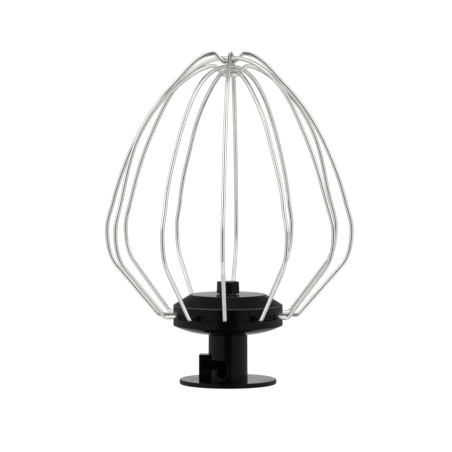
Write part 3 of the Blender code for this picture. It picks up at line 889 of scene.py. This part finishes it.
# azimuth and level in the crossing, shoulder and brow in parts of the cage, then in wire diameters the
# peak, the crown's drift toward +X, and each strand's sway toward +X at its waist and its shoulder
wireLoops = [
    {"azimuth": 0, "level": 2, "shoulder": (0.740, 0.54), "brow": (0.451, 0.825), "browLean": 44,
     "peak": (3.37, 0.05), "drift": 0.21, "sway": ((0.36, 0.51), (0.15, 0.05))},
    {"azimuth": 30, "level": 5, "shoulder": (0.788, 0.59), "brow": (0.515, 0.855), "browLean": 50,
     "peak": (4.32, -3.0), "drift": 0.63, "sway": ((0.45, 0.19), (-0.48, -0.53))},
    {"azimuth": 60, "level": 3, "shoulder": (0.720, 0.59), "brow": (0.442, 0.885), "browLean": 48,
     "peak": None, "drift": 0.37, "sway": ((0.10, 0.38), (0.62, 0.12))},
    {"azimuth": 90, "level": 0, "shoulder": (0.745, 0.545), "brow": (0.460, 0.850), "browLean": 46,
     "peak": None, "drift": 0.74, "sway": ((0.78, 0.82), (0.08, 0.22))},
    {"azimuth": 120, "level": 4, "shoulder": (0.662, 0.60), "brow": (0.354, 0.885), "browLean": 48,
     "peak": None, "drift": 0.63, "sway": ((0.75, 0.47), (0.08, 0.48))},
    {"azimuth": 150, "level": 1, "shoulder": (0.745, 0.55), "brow": (0.469, 0.858), "browLean": 46,
     "peak": None, "drift": 0.21, "sway": ((-0.54, -0.44), (0.0, -0.28))},
]


def bendPoints(before, corner, after, radius, steps):
    back = (before - corner).normalized()
    ahead = (after - corner).normalized()
    opening = back.angle(ahead)
    reach = radius / tan(opening / 2)
    center = corner + (back + ahead).normalized() * radius / sin(opening / 2)
    first, last = corner + back * reach - center, corner + ahead * reach - center
    turn = first.angle(last)
    return [center + (first * sin(turn * (1 - t)) + last * sin(turn * t)) / sin(turn)
            for t in (i / steps for i in range(steps + 1))]


# A smooth run through (radius, height, lean from upright) stations.
def smoothRun(stations, steps):
    points = []
    for (r0, z0, lean0), (r1, z1, lean1) in zip(stations, stations[1:]):
        start, end = Vector((r0, z0, 0)), Vector((r1, z1, 0))
        handle = (end - start).length / (3 * cos((lean1 - lean0) / 4) ** 2)
        first = start + handle * Vector((sin(lean0), cos(lean0), 0))
        second = end - handle * Vector((sin(lean1), cos(lean1), 0))
        points += interpolate_bezier(start, first, second, end, steps + 1)[:-1]
    return points + [end]


def strandPoints(loop, size):
    diameter = 2 * wireRadius
    cornerR = hubRadius + size["legStart"]
    foot = Vector((size["hookRadius"], stubZ - size["hookLength"], 0))
    turnIn = Vector((size["hookRadius"], stubZ, 0))
    turnUp = Vector((cornerR, stubZ, 0))
    waist, top = stubZ + size["waist"], stubZ + size["top"]
    crown = top - loop["level"] * (diameter + size["crossGap"])
    peakR, peakHeight = [diameter * part for part in loop["peak"] or (0, 0)]
    summit = top + peakHeight if loop["peak"] else crown
    rise = summit - waist
    legRise = size["waist"] * size["legPart"]
    radius = size["radius"]
    shoulder, shoulderHeight = loop["shoulder"]
    brow, browHeight = loop["brow"]
    flank = size["flankFullness"] + (1 - size["flankFullness"]) * sqrt(shoulder)
    stations = [
        (cornerR + legRise * tan(size["legLean"]), stubZ + legRise, size["legTopLean"]),
        (radius, waist, 0),
        (radius * flank, waist + rise * size["flankPart"], -size["flankLean"]),
        (radius * shoulder, waist + rise * shoulderHeight, -size["shoulderLean"]),
        (radius * brow, waist + rise * browHeight, -radians(loop["browLean"])),
    ]
    if loop["peak"]:
        stations += [
            (peakR + wireRadius, summit, -size["peakLean"]),
            (peakR * size["kinkRadiusPart"], summit - (summit - crown) * size["kinkDepthPart"],
             -size["kinkLean"]),
            (diameter * size["kinkFlat"], crown, -pi / 2),
        ]
    else:
        stations.append((2 * diameter, crown - diameter * size["crownSag"], -size["crownLean"]))
    stations.append((0, crown, -pi / 2))
    leg = smoothRun(stations, size["runSteps"])
    strand = [foot, *bendPoints(foot, turnIn, turnUp, size["stubBend"], size["bendSteps"])]
    strand += bendPoints(turnIn, turnUp, leg[0], size["legBend"], size["bendSteps"])
    return strand + leg, waist, crown


def loopPoints(loop, size):
    strand, waist, crown = strandPoints(loop, size)
    azimuth = radians(loop["azimuth"])
    points = []
    for side, run, (atWaist, atShoulder) in zip((1, -1), (strand, strand[-2::-1]), loop["sway"]):
        for p in run:
            rising = min(max(0, (p.y - stubZ) / size["waist"]), 1)
            height = min(max(0, (p.y - waist) / (crown - waist)), 1)
            change = min(height / size["swayChange"], 1)
            swayed = atWaist + (atShoulder - atWaist) * change ** 2 * (3 - 2 * change)
            aside = swayed * sin(rising * pi / 2) * (1 - height ** 3) + loop["drift"] * height ** 3
            x = side * p.x * cos(azimuth) + aside * 2 * wireRadius
            points.append((x, side * p.x * sin(azimuth), p.y))
    return points


# Sweeps a round wire along a path, and keeps its run and its ring for the drawn lines in the finish.
def buildWireTree():
    tree = GeometryTree("sweptWire", {
        "Wire radius": "Float", "Spacing": "Float", "Sides": "Int", "Material": "Material"})
    given = tree.given.outputs
    path = tree.node("GeometryNodeMeshToCurve", {}, {"Mesh": given["Geometry"]})
    even = tree.node("GeometryNodeResampleCurve", {"mode": "LENGTH"},
                     {"Curve": path, "Length": given["Spacing"]})
    run = tree.node("GeometryNodeSplineParameter", {}, {}, "Length")
    marked = tree.node("GeometryNodeStoreNamedAttribute", {"data_type": "FLOAT", "domain": "POINT"},
                       {"Geometry": even, "Name": "along", "Value": run})
    ring = tree.node("GeometryNodeCurvePrimitiveCircle", {},
                     {"Resolution": given["Sides"], "Radius": given["Wire radius"]})
    spot = tree.node("GeometryNodeInputPosition", {}, {})
    ringMarked = tree.node("GeometryNodeStoreNamedAttribute",
                           {"data_type": "FLOAT_VECTOR", "domain": "POINT"},
                           {"Geometry": ring, "Name": "ring", "Value": spot})
    wire = tree.node("GeometryNodeCurveToMesh", {},
                     {"Curve": marked, "Profile Curve": ringMarked, "Fill Caps": True})
    smooth = tree.node("GeometryNodeSetShadeSmooth", {}, {"Geometry": wire, "Shade Smooth": True})
    return tree.finish(smooth)


wireTree = buildWireTree()


def makeLoop(number, loop, size):
    points = loopPoints(loop, size)
    mesh = bpy.data.meshes.new(f"path{number}")
    mesh.from_pydata(points, [(i, i + 1) for i in range(len(points) - 1)], [])
    path = link(bpy.data.objects.new(f"path{number}", mesh))
    steel = polishedWire(f"wireSteel{number}", wireLook, number)
    addNodes(path, wireTree, {"Wire radius": wireRadius, "Spacing": size["spacing"],
                              "Sides": size["sides"], "Material": steel})
    return plainCopy(path, f"wireLoop{number}", steel, size["sharp"])


for number, loop in enumerate(wireLoops, 1):
    showPiece(makeLoop(number, loop, cageSizes), f"wire_loop_{number}")
print("wire loops made")


# steel pieces inside the hub, kept from the CAD model
for seed, node in enumerate(("wire_clamp_plate", "clamp_bolt", "lock_washer")):
    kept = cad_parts[node]
    kept.data.materials.clear()
    kept.data.materials.append(platedSteel(f"platedSteel{seed}", platedLook, seed))
print("steel pieces painted")


# floor, light and camera
viewAzimuth = radians(-87.4)
viewDirection = Vector((cos(viewAzimuth), sin(viewAzimuth), 0))
viewLeft = Vector((viewDirection.y, -viewDirection.x, 0))

studio = {
    "floorGrey": 0.22,
    "floorGloss": 0.75,
    "floorRoughness": 0.22,
    "floorSeen": 0.97,
    "floorRadius": 0.125,
    "floorSides": 96,
    "floorDrop": 0.0001,
    "brightest": 1.35,
    "backdrop": 1.05,
    # light round the object, from the camera's side (0) to the far side (1)
    "low": [(0.0, 0.02), (0.09, 0.03), (0.16, 0.60), (0.53, 0.64), (0.75, 0.30), (0.85, 0.14),
            (0.955, 0.14), (0.975, 0.62), (1.0, 0.62)],
    "high": [(0.0, 0.11), (0.12, 0.14), (0.17, 1.0), (0.53, 0.90), (0.75, 0.36), (0.85, 0.16),
             (0.955, 0.16), (0.975, 0.80), (1.0, 0.80)],
    # where the low light gives way to the high light, and that to the ceiling's, by the ray's height
    "rise": [(0.58, 0.0), (0.66, 1.0)],
    "ceilingShare": [(0.93, 0.0), (0.965, 1.0)],
    # the ceiling from its far side (0) to the camera's side (1): dim, then a strip of light
    "ceiling": [(0.0, 0.40), (0.49, 0.40), (0.54, 1.0), (0.70, 1.0), (0.76, 0.30), (1.0, 0.30)],
    "strip": 0.66,
}


def makeFloor(size):
    disc = bmesh.new()
    bmesh.ops.create_circle(disc, cap_ends=True, segments=size["floorSides"], radius=size["floorRadius"])
    bmesh.ops.translate(disc, vec=(0, 0, -size["floorDrop"]), verts=disc.verts)
    mesh = bpy.data.meshes.new("floor")
    disc.to_mesh(mesh)
    disc.free()
    floor = link(bpy.data.objects.new("floor", mesh))
    material = bpy.data.materials.new("paperFloor")
    shader = Shader(material)
    grey, gloss = size["floorGrey"], size["floorGloss"]
    paper = shader.node("ShaderNodeBsdfDiffuse", {}, {"Color": (grey, grey, grey, 1)})
    sheen = shader.node("ShaderNodeBsdfAnisotropic", {},
                        {"Color": (gloss, gloss, gloss, 1), "Roughness": size["floorRoughness"]})
    seen = shader.node("ShaderNodeLightPath", {}, {}, "Is Camera Ray")
    glow = shader.node("ShaderNodeEmission", {}, {"Strength": size["floorSeen"]})
    lit = shader.node("ShaderNodeMixShader", {}, {0: seen, 1: sheen, 2: glow})
    both = shader.node("ShaderNodeAddShader", {}, {0: paper, 1: lit})
    shader.node("ShaderNodeOutputMaterial", {}, {"Surface": both})
    mesh.materials.append(material)


# The room's light: dark behind the camera, bright at both sides, dark flags, then a white backdrop.
def makeRoom(size):
    world = bpy.data.worlds.new("room")
    bpy.context.scene.world = world
    shader = Shader(world)
    ray = shader.node("ShaderNodeTexCoord", {}, {}, "Generated")
    x = shader.node("ShaderNodeSeparateXYZ", {}, {0: ray}, "X")
    y = shader.node("ShaderNodeSeparateXYZ", {}, {0: ray}, "Y")
    z = shader.node("ShaderNodeSeparateXYZ", {}, {0: ray}, "Z")
    flat = (x * x + y * y + 0.000001) ** 0.5
    toward = x * viewDirection.x + y * viewDirection.y
    facing = toward / flat
    around = shader.calculate("ARCCOSINE", facing) / pi
    height = z * 0.5 + 0.5
    rise = shader.ramp(height, *size["rise"])
    overhead = shader.ramp(height, *size["ceilingShare"])
    level = shader.ramp(around, *size["low"]) * (1 - rise) + shader.ramp(around, *size["high"]) * rise
    ceiling = shader.ramp(toward * 0.5 + 0.5, *size["ceiling"]) * size["strip"]
    light = (level * (1 - overhead) + overhead * ceiling) * size["brightest"]
    seen = shader.node("ShaderNodeLightPath", {}, {}, "Is Camera Ray")
    strength = light * (1 - seen) + size["backdrop"] * seen
    glow = shader.node("ShaderNodeBackground", {}, {"Color": (1, 1, 1, 1), "Strength": strength})
    shader.node("ShaderNodeOutputWorld", {}, {"Surface": glow})


cameraSizes = {
    "distance": 1.163,
    "height": 0.13525,
    "aimHeight": 0.07325,
    "aside": 0.00093,
    "lens": 200.3,
    "sensor": 36,
    "clip": (0.01, 20),
}


def makeCamera(size):
    data = bpy.data.cameras.new("camera")
    data.lens = size["lens"]
    data.sensor_width = size["sensor"]
    data.clip_start, data.clip_end = size["clip"]
    camera = link(bpy.data.objects.new("camera", data))
    aside = viewLeft * size["aside"]
    camera.location = viewDirection * size["distance"] + aside + Vector((0, 0, size["height"]))
    aim = aside + Vector((0, 0, size["aimHeight"]))
    camera.rotation_mode = "QUATERNION"
    camera.rotation_quaternion = (aim - camera.location).to_track_quat("-Z", "Y")
    bpy.context.scene.camera = camera


makeFloor(studio)
makeRoom(studio)
makeCamera(cameraSizes)
bpy.context.scene.view_settings.view_transform = "Standard"
print("studio made")
